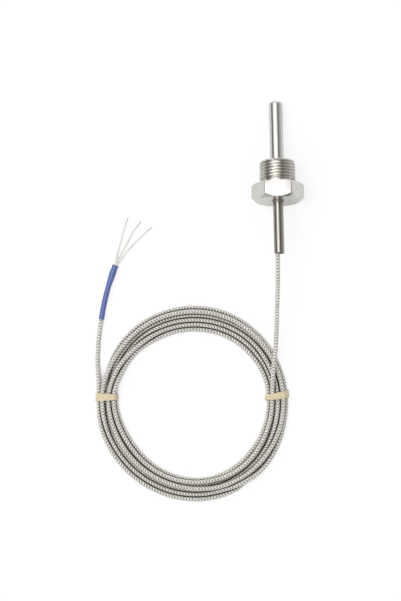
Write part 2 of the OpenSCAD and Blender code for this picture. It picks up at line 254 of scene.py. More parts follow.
def wanted_turns(deg):
    """Radius and level (0 low, 1 on other turns) that the stations ask for at these angles."""
    knots, radii, levels = (list(x) for x in zip(*LEAD_IN))
    for j, row in enumerate(TURNS):
        for station, r in zip(STATIONS, row):
            knots.append(station - 360 * j)
            radii.append(abs(r))
            levels.append(float(r > 0))
    kernel = np.hanning(BLUR_STEPS)
    kernel /= kernel.sum()
    out = []
    for values in (radii, levels):
        x = np.interp(-deg, -np.array(knots, float), values)
        ends = [np.full(BLUR_STEPS // 2, x[i]) for i in (0, -1)]
        out.append(np.convolve(np.concatenate([ends[0], x, ends[1]]), kernel, "valid"))
    return out


def band_lift(deg):
    """How far the rubber bands' under sides lift a strand at these angles."""
    lift = np.zeros(len(deg))
    for band in (BAND_LEFT, BAND_RIGHT):
        off = np.abs((deg - band + 180) % 360 - 180)
        t = np.clip(1 - (off - BAND_FLAT) / BAND_FADE, 0, 1)
        lift = np.maximum(lift, BAND_T * t ** 2 * (3 - 2 * t))
    return lift


def coil_path():
    """The turns from where the lead lies down on them to where the tail leaves, settled on
    each other: every turn keeps a diameter from the others and lies as low as it can.
    Returns its points, with their degrees, radii and heights."""
    n = int(round((START_DEG - END_DEG) / STEP_DEG)) + 1
    per_turn = int(round(360 / STEP_DEG))
    turns = -(-n // per_turn)
    size = turns * per_turn
    deg = START_DEG - STEP_DEG * np.arange(size)
    want, level = wanted_turns(deg[:n])
    r = np.concatenate([want, AWAY + np.arange(size - n) * 10])
    z = np.concatenate([CABLE_R + LEVEL_RISE * level, np.full(size - n, AWAY)])
    ground = CABLE_R + band_lift(deg % 360)
    target = r.copy()
    # views of r and z with a row for each turn, which change with them
    turn_r, turn_z = r.reshape(turns, per_turn), z.reshape(turns, per_turn)
    for it in range(SETTLE_ROUNDS):
        calm = it > CALM_FROM
        if not calm:
            z[:n] -= SINK
            r[:n] += PULL * (target - r)[:n]
        dr, dz = np.zeros_like(turn_r), np.zeros_like(turn_z)
        for i in range(turns):
            for j in range(i + 1, turns):
                x, y = turn_r[j] - turn_r[i], turn_z[j] - turn_z[i]
                d = np.maximum(np.hypot(x, y), 1e-6)
                push = np.clip(CABLE_D + SPARE - d, 0, None) * 0.5
                dr[i] -= push * x / d
                dr[j] += push * x / d
                dz[i] -= push * y / d
                dz[j] += push * y / d
        turn_r += dr * PUSH
        turn_z += dz * PUSH
        if it % 2 == 0 and it < EASE_UNTIL:
            for q in (r, z):
                mid = (q[:n - 2] + q[2:n]) / 2
                q[1:n - 1] += (CALM_EASE if calm else EASE) * (mid - q[1:n - 1])
        z[:n] = np.maximum(z[:n], ground[:n])
        r[0], z[0] = LEAD_IN[0][1], LEAD_REST_Z
        r[n - 1] = TAIL_OUT_R
    deg, r, z = deg[:n], r[:n], z[:n]
    a = np.radians(deg)
    return COIL_C + np.stack([r * np.cos(a), r * np.sin(a), z], 1), deg, r, z


coil_pts, coil_deg, coil_rad, coil_z = coil_path()
sleeve_run = [sleeve_point(s) for s in np.linspace(0, SLEEVE_COVER, 6)]
lead_pts = smooth_curve(LEAD_ROUTE, 6)
tail_pts = smooth_curve(np.vstack([TAIL_FREE, sleeve_run]), 5)
whole_pts = np.vstack([lead_pts[:-1], coil_pts[1:-1:3], tail_pts])
cable_line = resampled(smooth_curve(whole_pts, 3), LINE_STEP)
eased(cable_line, 1, len(cable_line) - 1, 4)
# and much more where the lead comes down on the turns
landing = len(resampled(lead_pts, LINE_STEP)) - 1
eased(cable_line, landing - 12, landing + 12, 60)
cable_line = resampled(cable_line, LINE_STEP)


# -------------------- shader nodes
def feed(tree, socket, v):
    """Gives a socket another node's output, or a value."""
    if isinstance(v, bpy.types.NodeSocket):
        tree.links.new(v, socket)
    else:
        socket.default_value = v


def add_node(tree, kind, op=None, **inputs):
    """A shader node. Its inputs go by name, or by place as i0, i1 and so on."""
    x = tree.nodes.new("ShaderNode" + kind)
    if op:
        x.operation = op
    for k, v in inputs.items():
        by_place = k[0] == "i" and k[1:].isdigit()
        feed(tree, x.inputs[int(k[1:]) if by_place else k], v)
    return x


def add_range(tree, value, low, high, a, b):
    """a where value is low, b where it is high, and even steps between."""
    return add_node(tree, "MapRange", i0=value, i1=low, i2=high, i3=a, i4=b).outputs[0]


def add_mix(tree, fac, a, b):
    """a where fac is 0, b where it is 1. A colour is written as its three numbers."""
    x = tree.nodes.new("ShaderNodeMix")
    x.data_type = "RGBA"
    for place, v in ((0, fac), (6, a), (7, b)):
        feed(tree, x.inputs[place], (*v, 1.0) if isinstance(v, tuple) else v)
    return x.outputs[2]


class Surface:
    """A Principled material that is built up from procedural textures."""

    def __init__(self, name, metallic=0.0):
        self.material = bpy.data.materials.new(name)
        self.material.use_nodes = True
        self.tree = self.material.node_tree
        self.bsdf = self.tree.nodes["Principled BSDF"]
        self.bsdf.inputs["Metallic"].default_value = metallic
        self.where = add_node(self.tree, "TexCoord").outputs["Object"]
        self.normal = None

    def in_mm(self, stretch=(1, 1, 1), where=None):
        """Coordinates in mm, scaled by stretch."""
        return add_node(self.tree, "Mapping", Vector=self.where if where is None else where,
                        Scale=[x / MM for x in stretch]).outputs[0]

    def on_probe(self, stretch=(1, 1, 1)):
        """Coordinates about the probe's upright axis, in mm, scaled by stretch."""
        upright = math.radians(90) + LIE
        front = Matrix.Rotation(upright, 3, "X") @ Vector((FRONT * MM).tolist())
        stood = add_node(self.tree, "Mapping", Vector=self.where, Location=[-x for x in front],
                         Rotation=(upright, 0, 0))
        return self.in_mm(stretch, stood.outputs[0])

    def math(self, op, a, b=0.0):
        return add_node(self.tree, "Math", op, i0=a, i1=b).outputs[0]

    def noise(self, where, scale, detail=3.0, rough=0.5):
        """Noise with this many blobs to a unit of where, which is a mm unless it is stretched."""
        return add_node(self.tree, "TexNoise", Vector=where, Scale=scale, Detail=detail,
                        Roughness=rough).outputs["Fac"]

    def attribute(self, name):
        x = self.tree.nodes.new("ShaderNodeAttribute")
        x.attribute_name = name
        return x.outputs["Fac"]

    def between(self, fac, low, high, a, b):
        return add_range(self.tree, fac, low, high, a, b)

    def mix(self, fac, a, b):
        return add_mix(self.tree, fac, a, b)

    def colour(self, c):
        self.tree.links.new(c, self.bsdf.inputs["Base Color"])

    def rough(self, r):
        self.tree.links.new(r, self.bsdf.inputs["Roughness"])

    def bump(self, height, depth, strength):
        """Adds a bump layer of this depth in mm."""
        x = add_node(self.tree, "Bump", Height=height, Distance=depth * MM, Strength=strength)
        if self.normal is not None:
            self.tree.links.new(self.normal, x.inputs["Normal"])
        self.normal = x.outputs[0]
        self.tree.links.new(self.normal, self.bsdf.inputs["Normal"])


# -------------------- materials
def turned_steel():
    """Bar steel off the lathe: fine turning rings and faint stains, and painted shade in the
    thread's roots."""
    s = Surface("turned_steel", metallic=1.0)
    p = s.on_probe()
    stain = s.between(s.noise(p, 0.35, 4), 0.35, 0.7, 0, 1)
    tone = s.mix(stain, (0.60, 0.59, 0.56), (0.53, 0.515, 0.48))
    # painted shade in the thread's roots
    s.colour(s.mix(s.attribute("root"), tone, (0.52, 0.50, 0.46)))
    s.rough(s.between(s.noise(p, 1.7, 3), 0.3, 0.7, 0.2, 0.32))
    s.bump(s.noise(s.on_probe((0.02, 0.02, 9)), 1.0, 3, 0.7), 0.012, 0.5)
    s.bump(s.noise(p, 6, 2), 0.004, 0.4)
    return s.material


def tube_steel():
    """Drawn and polished tube: streaks that run along it."""
    s = Surface("tube_steel", metallic=1.0)
    streak = s.noise(s.on_probe((5, 5, 0.05)), 1.0, 4, 0.65)
    s.colour(s.mix(streak, (0.60, 0.59, 0.57), (0.52, 0.505, 0.48)))
    s.rough(s.between(streak, 0.3, 0.75, 0.16, 0.27))
    s.bump(s.noise(s.on_probe((9, 9, 0.12)), 1.0, 3, 0.6), 0.006, 0.5)
    return s.material


def stem_steel():
    """The thinner tube behind the hexagon, drawn: darker and warmer than the sheath tube."""
    s = Surface("stem_steel", metallic=1.0)
    streak = s.noise(s.on_probe((4, 4, 0.06)), 1.0, 4, 0.65)
    s.colour(s.mix(streak, (0.33, 0.31, 0.28), (0.25, 0.235, 0.205)))
    s.rough(s.between(streak, 0.3, 0.75, 0.15, 0.24))
    s.bump(s.noise(s.on_probe((8, 8, 0.15)), 1.0, 3, 0.6), 0.008, 0.5)
    return s.material


def weld_steel():
    """Weld bead, duller than the tube, with a faint straw tint."""
    s = Surface("weld_steel", metallic=1.0)
    p = s.on_probe()
    s.colour(s.mix(s.noise(p, 1.2, 3), (0.32, 0.295, 0.26), (0.17, 0.145, 0.115)))
    s.rough(s.between(s.noise(p, 3, 3), 0.3, 0.7, 0.25, 0.45))
    s.bump(s.noise(p, 5, 3), 0.02, 0.6)
    return s.material


def braid_steel():
    """A flat strand of the braid: fine parallel wires, with painted shade in the hollows between
    them.
    """
    s = Surface("braid_steel", metallic=0.6)
    across, over = s.attribute("across"), s.attribute("over")
    from_middle = s.math("ABSOLUTE", across)
    fleck = s.noise(s.in_mm(), 1.6, 3)
    tone = s.mix(s.between(fleck, 0.35, 0.7, 0, 1), (0.84, 0.82, 0.772), (0.66, 0.64, 0.592))
    # painted shade where the strand passes under, down its middle and at its edges, in patches
    under = s.math("MULTIPLY", s.between(over, 0.05, 0.6, 0.6, 0), 0.8)
    middle = s.between(from_middle, 0.03, 0.12, 0.4, 0)
    edge = s.between(from_middle, 0.8, 1.0, 0, 0.5)
    patches = s.between(s.noise(s.in_mm(), 0.13, 2), 0.3, 0.7, 0.6, 1.3)
    painted_shade = s.math("MAXIMUM", under, s.math("MAXIMUM", edge, middle))
    painted_shade = s.math("MULTIPLY", painted_shade, patches)
    # and painted shade in full where two runs of the cable lie against each other
    painted_shade = s.math("MAXIMUM", painted_shade, s.between(s.attribute("deep"), 0.0, 0.5, 0, 1))
    # the near-black colour of the painted shade
    s.colour(s.mix(painted_shade, tone, (0.036, 0.027, 0.018)))
    s.rough(s.between(fleck, 0.3, 0.7, 0.5, 0.62))
    s.bump(s.math("COSINE", s.math("MULTIPLY", across, 6 * math.pi)), 0.02, 0.55)
    return s.material


def cable_core():
    """The wires under the braid, seen only through its gaps, nearly black: a painted shade of the
    braid's inside.
    """
    s = Surface("cable_core", metallic=0.6)
    f = s.noise(s.in_mm((3, 3, 3)), 1.0, 3)
    s.colour(s.mix(f, (0.035, 0.031, 0.027), (0.075, 0.068, 0.058)))
    s.rough(s.between(f, 0.3, 0.7, 0.4, 0.6))
    s.bump(f, 0.03, 0.5)
    return s.material


def shrink_sleeve():
    """Blue shrink tube, with painted shade in the hollows where the braid prints through and at the
    mouth, and a slight gloss.
    """
    s = Surface("shrink_sleeve")
    p = s.in_mm()
    f = s.noise(p, 0.5, 3)
    tone = s.mix(s.between(f, 0.3, 0.7, 0, 1), (0.064, 0.103, 0.31), (0.082, 0.127, 0.365))
    # painted shade in the print's hollows and at the mouth
    shade_share = s.between(s.attribute("painted_sleeve_shade"), 0, 1, 0.0, 0.8)
    s.colour(s.mix(shade_share, tone, (0.05, 0.06, 0.16)))
    s.rough(s.between(f, 0.3, 0.7, 0.28, 0.4))
    s.bump(s.noise(p, 3.0, 3), 0.03, 0.5)
    return s.material


def wire_insulation():
    """Whitish fluoropolymer insulation, a little uneven."""
    s = Surface("wire_insulation")
    p = s.in_mm((1, 0.5, 1))
    f = s.noise(p, 0.3, 3)
    s.colour(s.mix(s.between(f, 0.3, 0.7, 0, 1), (0.70, 0.69, 0.66), (0.62, 0.60, 0.56)))
    s.rough(s.between(f, 0.3, 0.7, 0.3, 0.45))
    s.bump(s.noise(p, 3, 2), 0.02, 0.5)
    return s.material


def tinned_copper():
    """Stranded, tinned wire end: dull grey with warm spots."""
    s = Surface("tinned_copper", metallic=1.0)
    f = s.noise(s.in_mm(), 2.5, 3)
    s.colour(s.mix(s.between(f, 0.35, 0.65, 0, 1), (0.50, 0.49, 0.47), (0.38, 0.31, 0.25)))
    s.rough(s.between(f, 0.3, 0.7, 0.3, 0.5))
    s.bump(f, 0.02, 0.6)
    return s.material


def latex_band():
    """Natural rubber band: cream, matt, with faint stretch lines and a dusty bloom."""
    s = Surface("latex_band")
    f = s.noise(s.in_mm(), 0.9, 4)
    s.colour(s.mix(s.between(f, 0.3, 0.7, 0, 1), (0.605, 0.53, 0.36), (0.53, 0.452, 0.29)))
    s.rough(s.between(f, 0.3, 0.7, 0.5, 0.7))
    s.bump(s.noise(s.in_mm((0.3, 6, 0.3)), 1.0, 3, 0.6), 0.05, 0.5)
    s.bump(s.noise(s.in_mm(), 4, 2), 0.02, 0.4)
    return s.material


def sealed(name, a, b, rough, metallic=0.0, grain=2.0, depth=0.02):
    """A sealed inner part: two tones, uneven gloss and a fine grain."""
    s = Surface(name, metallic)
    p = s.in_mm()
    f = s.noise(p, grain, 3)
    s.colour(s.mix(s.between(f, 0.3, 0.7, 0, 1), a, b))
    s.rough(s.between(f, 0.3, 0.7, rough - 0.08, rough + 0.08))
    s.bump(s.noise(p, grain * 3, 2), depth, 0.5)
    return s.material


# Named after the record's slots, but for the core and the stem.
MATERIALS = {
    "turned_steel": turned_steel(),
    "tube_steel": tube_steel(),
    "stem_steel": stem_steel(),
    "weld_steel": weld_steel(),
    "steel_braid": braid_steel(),
    "core": cable_core(),
    "shrink_sleeve": shrink_sleeve(),
    "wire_insulation": wire_insulation(),
    "tinned_copper": tinned_copper(),
    "rubber_band": latex_band(),
    "platinum": sealed("platinum", (0.72, 0.71, 0.68), (0.62, 0.60, 0.57), 0.25, metallic=1.0),
    "crimp_brass": sealed("crimp_brass", (0.74, 0.55, 0.27), (0.60, 0.42, 0.19), 0.35,
                          metallic=1.0),
    "ceramic": sealed("ceramic", (0.82, 0.79, 0.71), (0.74, 0.70, 0.62), 0.55),
    "packed_powder": sealed("packed_powder", (0.78, 0.76, 0.70), (0.66, 0.63, 0.57), 0.85,
                            grain=4.0, depth=0.05),
    "splice_insulation": sealed("splice_insulation", (0.80, 0.79, 0.77), (0.70, 0.69, 0.66),
                                0.45),
    "potting_resin": sealed("potting_resin", (0.030, 0.029, 0.028), (0.055, 0.052, 0.048), 0.4,
                            grain=1.5),
}


def coat(o, material):
    """Gives o this material alone."""
    o.data.materials.clear()
    o.data.materials.append(MATERIALS[material])


def finish_of(o, slot):
    """Gives a new piece the material of a slot of the record."""
    coat(o, slot)


# -------------------- the cable
CARRIERS = 2                # strands in each direction
BRAID_LAY = 3.56            # length in which a strand goes once round
ROWS_PER_LAY = 16
RIBBON_W, RIBBON_T = 1.54, 0.14
RIBBON_R = 1.285            # middle of a strand, from the cable's centreline
RIBBON_DROOP = 0.04         # its edges lie lower than its middle
WEAVE = 0.055               # how far it rises and falls to pass over and under
WEAVE_STEEPNESS = 1.4       # above 1, it stays up or down for a while
CORE_R = 1.12
CREVICE_START, CREVICE_DEPTH = 0.05, 0.56   # painted shade between two runs, by distance from the other
OTHER_RUN = 8               # a near point is on another run if it is further off along the cable
REACH = CABLE_D + 1.2       # how near that run has to be

braid_step = BRAID_LAY / ROWS_PER_LAY
braid_line = resampled(cable_line, braid_step)
braid_dir, braid_side, braid_up = frames(braid_line)


def other_runs():
    """For each point of braid_line, the points of the cable's other runs near it, or None."""
    s = along(braid_line)
    points = kdtree.KDTree(len(braid_line))
    for i, p in enumerate(braid_line):
        points.insert(p, i)
    points.balance()
    out = []
    for i, p in enumerate(braid_line):
        near = [j for _, j, _ in points.find_range(p, REACH) if abs(s[j] - s[i]) > OTHER_RUN]
        out.append(braid_line[near] if near else None)
    return out


neighbours = other_runs()


def crevice(v):
    """How deep each of a strand's points (rows x 4) lies between two runs of the cable, 0 to 1, for
    the painted shade there.
    """
    out = np.zeros(v.shape[:2])
    for i, other in enumerate(neighbours):
        if other is not None:
            d = np.linalg.norm(v[i][:, None, :] - other[None, :, :], axis=2).min(1)
            out[i] = np.clip(1 - (d - CABLE_R - CREVICE_START) / CREVICE_DEPTH, 0, 1)
    return out


def braid_set(name, hand):
    """All the strands that wind one way (hand 1 or -1), each over one and under one."""
    n = len(braid_line)
    turn = 2 * math.pi * np.arange(n) * braid_step / BRAID_LAY
    lean = math.atan(2 * math.pi * RIBBON_R / BRAID_LAY)
    # from a strand's middle to its edge: a turn about the cable and a step back along it
    edge_turn = RIBBON_W / 2 * math.cos(lean) / RIBBON_R
    edge_step = -hand * (RIBBON_W / 2) * math.sin(lean)
    section = [(-edge_turn, -edge_step, -RIBBON_DROOP), (0, 0, RIBBON_T / 2),
               (edge_turn, edge_step, -RIBBON_DROOP), (0, 0, -RIBBON_T / 2)]
    verts, faces, across, over, deep = [], [], [], [], []
    for c in range(CARRIERS):
        a = 2 * math.pi * c / CARRIERS + hand * turn
        lift = np.clip(hand * WEAVE_STEEPNESS * np.cos(CARRIERS * a), -1, 1)
        rows = []
        for da, ds, dr in section:
            r = RIBBON_R + WEAVE * lift + dr
            rows.append(braid_line + ds * braid_dir + (r * np.cos(a + da))[:, None] * braid_side
                        + (r * np.sin(a + da))[:, None] * braid_up)
        v = np.stack(rows, 1)
        first = sum(len(x) for x in verts)
        verts.append(v.reshape(-1, 3))
        i = first + 4 * np.arange(n - 1)
        new = [np.stack([i + k, i + (k + 1) % 4, i + 4 + (k + 1) % 4, i + 4 + k], 1)
               for k in range(4)]
        last = first + 4 * (n - 1)
        new += [np.array([[first + 3, first + 2, first + 1, first]]),
                np.array([[last, last + 1, last + 2, last + 3]])]
        faces += [x if hand > 0 else x[:, ::-1] for x in new]
        across.append(np.tile([-1.0, 0.0, 1.0, 0.0], n))
        over.append(np.repeat((lift + 1) / 2, 4))
        deep.append(crevice(v).ravel())
    o = add_mesh(name, np.vstack(verts), np.vstack(faces).tolist())
    point_attribute(o, "across", np.concatenate(across))
    # over and deep say where the material paints shade: under crossings and between runs
    point_attribute(o, "over", np.concatenate(over))
    point_attribute(o, "deep", np.concatenate(deep))
    finish_of(o, "steel_braid")
    return o


core_line = resampled(cable_line, 1.5)
core = add_mesh("cable_core", *tube_mesh(core_line, CORE_R, 12))
coat(core, "core")
braid_a = braid_set("cable_braid_right_hand", 1)
braid_b = braid_set("cable_braid_left_hand", -1)

# -------------------- shrink sleeve
SLEEVE_AROUND, SLEEVE_ROWS = 40, 96
SLEEVE_W, SLEEVE_H = 1.58, 1.57         # half its width and height where it is tight
SLEEVE_WIDER, SLEEVE_LOWER = 0.34, 0.12     # and what it gains and loses where it is slack
SLACK_FROM, SLACK_RUN = 19.5, 8
HELD_UNTIL, HELD_FADE = 23, 2           # the braid prints through where the cable holds it
SLEEVE_WALL = 0.2
RIM_R = 1.42                            # its rim on the braid


def bulge(s, middle, width):
    return np.exp(-((s - middle) / width) ** 2)


def sleeve():
    """Tube shrunk over the cable's end, slack and a little flattened where the wires leave."""
    s = np.linspace(0, SLEEVE_LEN, SLEEVE_ROWS)
    a = np.arange(SLEEVE_AROUND) * 2 * math.pi / SLEEVE_AROUND
    slack = np.clip((s - SLACK_FROM) / SLACK_RUN, 0, 1)
    slack = slack * slack * (3 - 2 * slack)
    lip = bulge(s, 0.6, 0.8)
    # narrower where the slack begins and near the mouth, fuller between them
    pinch = 0.06 * bulge(s, 19.0, 2.5) + 0.20 * bulge(s, 31.2, 1.1) - 0.06 * bulge(s, 28.0, 1.8)
    held = np.clip((HELD_UNTIL - s) / HELD_FADE, 0, 1)
    pattern = (np.cos(8 * a[None, :] + 2 * math.pi * s[:, None] / 1.5)
               * np.cos(4 * a[None, :]))
    ripple = (0.018 * held[:, None] * pattern
              + 0.02 * (1 - held)[:, None] * np.cos(3 * a[None, :] + 0.5 * s[:, None]))
    w = (SLEEVE_W + 0.05 * lip + SLEEVE_WIDER * slack - pinch)[:, None] + ripple
    h = (SLEEVE_H + 0.04 * lip - SLEEVE_LOWER * slack - pinch)[:, None] + ripple

    def ring(at, wide, high):
        return [sleeve_point(at) + wide[k] * math.cos(a[k]) * sleeve_side(at)
                + [0, 0, high[k] * math.sin(a[k])] for k in range(SLEEVE_AROUND)]

    verts = []
    for i in range(SLEEVE_ROWS):
        verts += ring(s[i], w[i], h[i])
    # back into the mouth, and narrower inside
    inner = [(0, SLEEVE_WALL), (3, SLEEVE_WALL), (6, SLEEVE_WALL + 0.3)]
    for inside, smaller in inner:
        verts += ring(SLEEVE_LEN - inside, w[-1] - smaller, h[-1] - smaller)
    faces = ring_faces(SLEEVE_ROWS + len(inner), SLEEVE_AROUND)
    # the rim at the cable's end, down to the braid
    rim = len(verts)
    verts += ring(0.0, np.full(SLEEVE_AROUND, RIM_R), np.full(SLEEVE_AROUND, RIM_R))
    for k in range(SLEEVE_AROUND):
        k2 = (k + 1) % SLEEVE_AROUND
        faces.append((rim + k, rim + k2, k2, k))
    o = add_mesh("end_sleeve_skin", verts, faces)
    # painted shade in the hollows of the braid's print, and at the mouth
    mouth = np.clip((s - SLEEVE_LEN + 1.1) / 0.6, 0, 1)[:, None]
    shade = np.zeros(len(verts))
    shade[:SLEEVE_ROWS * SLEEVE_AROUND] = np.maximum(
        0.5 * held[:, None] * np.clip(-pattern, 0, 1), mouth).ravel()
    point_attribute(o, "painted_sleeve_shade", shade)
    finish_of(o, "shrink_sleeve")
    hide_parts("end_sleeve")
    return o


sleeve_skin = sleeve()

# -------------------- wires
WIRE_D = 1.0
WIRE_R = WIRE_D / 2
WIRE_RING = WIRE_D / math.sqrt(3) + 0.02        # from the sleeve's middle to each wire's
WIRE_ANGLES = [180, 60, -60]
WIRE_FREE = [
    [[-96.2, -47.1, 1.6], [-95.3, -42.5, 0.8], [-93.9, -38.5, WIRE_R], [-92.7, -34, WIRE_R],
     [-91.4, -29.5, WIRE_R], [-89.8, -25.2, WIRE_R]],
    [[-94.5, -45.6, 2.1], [-92.1, -41.5, 1.1], [-89.6, -37, WIRE_R], [-87.3, -33, WIRE_R],
     [-85.2, -29.3, WIRE_R], [-83.3, -27, WIRE_R]],
    [[-92.9, -46.5, 1.5], [-90, -42.4, 0.8], [-86.7, -38.6, WIRE_R], [-83.3, -35.2, WIRE_R],
     [-80, -32.2, WIRE_R], [-77.4, -30, WIRE_R]],
]
TIP_D, TIP_LEN, TIP_INSIDE = 0.5, 4.0, 0.6      # the bare end, and how far it starts inside
STRANDS_ROUND = 6                               # and one in their middle
STRAND_TWIST = 1.6                              # radians in a mm


def bundled(i, s):
    """Middle of wire i inside the sleeve, s mm from the sleeve's start."""
    a = math.radians(WIRE_ANGLES[i])
    return sleeve_point(s) + WIRE_RING * (math.cos(a) * sleeve_side(s) + [0, 0, math.sin(a)])


def strands(end, heading):
    """Points and faces of the twisted strands that leave a wire's end."""
    side = unit(np.cross(heading, [0, 0, 1.0]))
    up = np.cross(side, heading)
    verts, faces = [], []
    for k in range(STRANDS_ROUND + 1):
        ring_r = TIP_D / 3 if k < STRANDS_ROUND else 0.0
        start = 2 * math.pi * k / STRANDS_ROUND
        line = np.array([end + x * heading + ring_r * (math.cos(start + STRAND_TWIST * x) * side
                                                       + math.sin(start + STRAND_TWIST * x) * up)
                         for x in np.linspace(-TIP_INSIDE, TIP_LEN, 24)])
        v, f = tube_mesh(line, TIP_D / 6 * 1.05, 8)
        faces += [tuple(len(verts) + q for q in face) for face in f]
        verts += v.tolist()
    return verts, faces


wires, wire_lines, tips = [], [], []
for i in range(3):
    route = [bundled(i, s) for s in (SLEEVE_COVER, (SLEEVE_COVER + SLEEVE_LEN) / 2, SLEEVE_LEN)]
    line = smooth_curve(np.array(route + WIRE_FREE[i], float), 4)
    line = resampled(smooth_curve(line, 3), 0.5)
    at = np.arange(len(line))
    uneven = 1 + 0.03 * np.sin(at * 0.9 + 2 * i) * np.sin(at * 0.23 + i)
    uneven[-2:] *= [0.97, 0.86]                 # the cut edge of the insulation
    wire = add_mesh(f"wire_{i + 1}", *tube_mesh(line, WIRE_R * uneven, 16))
    finish_of(wire, "wire_insulation")
    tip = add_mesh(f"wire_tip_strands_{i + 1}", *strands(line[-1], unit(line[-1] - line[-3])))
    finish_of(tip, "tinned_copper")
    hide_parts(f"tail_wire_{i + 1}")
    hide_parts(f"wire_tip_{i + 1}")
    wires.append(wire)
    wire_lines.append(line)
    tips.append(tip)

# -------------------- rubber bands
# Section of a band: across its width, -1 to 1, and out of the turns, in its thickness.
BAND_SECTION = [
    (-1.0, 0.25), (-0.985, 0.62), (-0.93, 0.9), (-0.7, 1.0), (-0.35, 0.97), (0, 1.0),
    (0.35, 0.96), (0.7, 1.0), (0.93, 0.9), (0.985, 0.62), (1.0, 0.25),
    (0.93, 0.03), (0.5, 0.0), (0, 0.0), (-0.5, 0.0), (-0.93, 0.03),
]
BAND_ROWS = 128
BAND_ROOM = 0.03            # between the strands and the band
BAND_LOWEST = 0.02          # above the floor


def outline_round(circles, grow):
    """Convex outline round circles (x, z, r), as an even loop of points."""
    pts = set()
    for x, z, r in circles:
        for a in np.linspace(0, 2 * math.pi, 48, endpoint=False):
            q = (x + (r + grow) * math.cos(a), z + (r + grow) * math.sin(a))
            pts.add((round(q[0], 5), round(q[1], 5)))
    pts = sorted(pts)

    def half(seq):
        out = []
        for q in seq:
            while len(out) > 1 and ((out[-1][0] - out[-2][0]) * (q[1] - out[-2][1])
                                    - (out[-1][1] - out[-2][1]) * (q[0] - out[-2][0])) <= 0:
                out.pop()
            out.append(q)
        return out[:-1]

    loop = np.array(half(pts) + half(pts[::-1]))
    loop = np.vstack([loop, loop[:1]])
    s = along(loop)
    at = np.linspace(0, s[-1], BAND_ROWS, endpoint=False)
    return np.stack([np.interp(at, s, loop[:, k]) for k in range(2)], 1)


def rubber_band(name, node, degrees, width, tilt, lip, seed, thick, flare):
    """A flat band drawn round the turns. It touches each strand that it passes and bridges the
    hollows. tilt leans it along the cable, lip is a fold that stands out on its inner side, and
    flare widens its outer side."""
    off = np.abs((coil_deg - degrees + 180) % 360 - 180)
    loop = outline_round([(coil_rad[i], coil_z[i], CABLE_R)
                          for i in np.flatnonzero(off <= STEP_DEG / 2)], BAND_ROOM)
    tangent = unit(np.roll(loop, -1, 0) - np.roll(loop, 1, 0))
    outward = np.stack([tangent[:, 1], -tangent[:, 0]], 1)      # the loop runs anticlockwise
    low, high = loop[:, 0].min(), loop[:, 0].max()
    middle = (low + high) / 2
    a = math.radians(degrees)
    from_centre = np.array([math.cos(a), math.sin(a), 0])
    along_cable = np.array([-math.sin(a), math.cos(a), 0])
    verts = []
    for j, (x, z) in enumerate(loop):
        turn = j * 2 * math.pi / len(loop)
        wander = 0.10 * math.sin(2 * turn + seed) + 0.06 * math.sin(5 * turn + 2 * seed)
        inner_side = max(0.0, (middle - x) / (middle - low))
        half_width = width / 2 * (1 + flare * (x - middle) / (high - middle))
        for u, h in BAND_SECTION:
            # the fold stands out at one edge of the band, and only on the turns' inner side
            fold = lip * inner_side ** 10 * (0.5 - 0.5 * u) ** 1.2
            wave = 0.05 * math.sin(3 * turn + 4 * u + seed) * (0.3 if z < 2 else 1)
            outer = h > 0.1
            out = h * thick + (fold if outer else 0.35 * fold) + wave * outer
            q = np.array([x, z]) + outward[j] * out
            q[1] = max(q[1], BAND_LOWEST)
            shift = u * half_width + wander + (x - middle) * math.tan(tilt)
            verts.append(np.array([COIL_C[0], COIL_C[1], 0]) + q[0] * from_centre
                         + [0, 0, q[1]] + shift * along_cable)
    o = add_mesh(name, verts, ring_faces(len(loop), len(BAND_SECTION), closed=True))
    finish_of(o, "rubber_band")
    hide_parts(node)
    return o


band_l = rubber_band("band_left", "rubber_band_left", BAND_LEFT + 0.4, width=4.1,
                     tilt=math.radians(4), lip=0.15, seed=1.0, thick=0.5, flare=0.22)
band_r = rubber_band("band_right", "rubber_band_right", BAND_RIGHT - 0.2, width=4.0,
                     tilt=math.radians(4.5), lip=0.7, seed=2.4, thick=0.7, flare=0.16)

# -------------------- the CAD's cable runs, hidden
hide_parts("cable_lead", "cable_coil", "cable_tail")

# -------------------- process fitting
THREAD_R, MINOR_R, PITCH = 20.955 / 2, 18.631 / 2, 25.4 / 14
BOSS_LEN, CHAMFER, RELIEF = 14.0, 1.1, 2.1
HEX_AF, HEX_LEN = 27.0, 10.0
REAR_ANGLE, FRONT_ANGLE = math.radians(42), math.radians(30)    # of the hexagon's chamfers
REAR_R, FRONT_R = HEX_AF / 2 - 0.4, HEX_AF / 2 + 0.7            # where they meet its faces
PASSAGE_R, SHEATH_HOLE_R, STEM_HOLE_R = 2.5, 4.05, 3.05
SHEATH_SEAT, STEM_SEAT = 12.0, 5.0
# the thread's profile, in pitches: radius and half width of its arcs, and its depth
ARC_R, ARC_HALF, DEPTH = 0.1373, 0.1218, 0.6403
FLANK = math.radians(27.5)
CREST_SHARE = 0.8           # of the depth, where the crests are turned flat
RUN_IN = 0.25               # length in which the thread grows out of the relief groove
ROWS_PER_PITCH = 20
EDGE_SOFT, EDGE_SOFT_DEG = 0.16, 2.2        # how the hexagon's upright edges are rounded


def thread_height(w, a):
    """Radius of the 55 degree thread, right-handed: round roots, and crests turned flat."""
    phase = (w / PITCH - a / (2 * math.pi)) % 1.0
    across = (1 - abs(2 * phase - 1)) / 2       # 0 at a root, 0.5 at a crest
    if across < ARC_HALF:
        h = ARC_R - math.sqrt(ARC_R * ARC_R - across ** 2)
    elif across > 0.5 - ARC_HALF:
        h = DEPTH - ARC_R + math.sqrt(ARC_R * ARC_R - (0.5 - across) ** 2)
    else:
        h = (ARC_R - math.sqrt(ARC_R * ARC_R - ARC_HALF * ARC_HALF)
             + (across - ARC_HALF) / math.tan(FLANK))
    return MINOR_R + (THREAD_R - MINOR_R) * min(h / DEPTH / CREST_SHARE, 1.0)


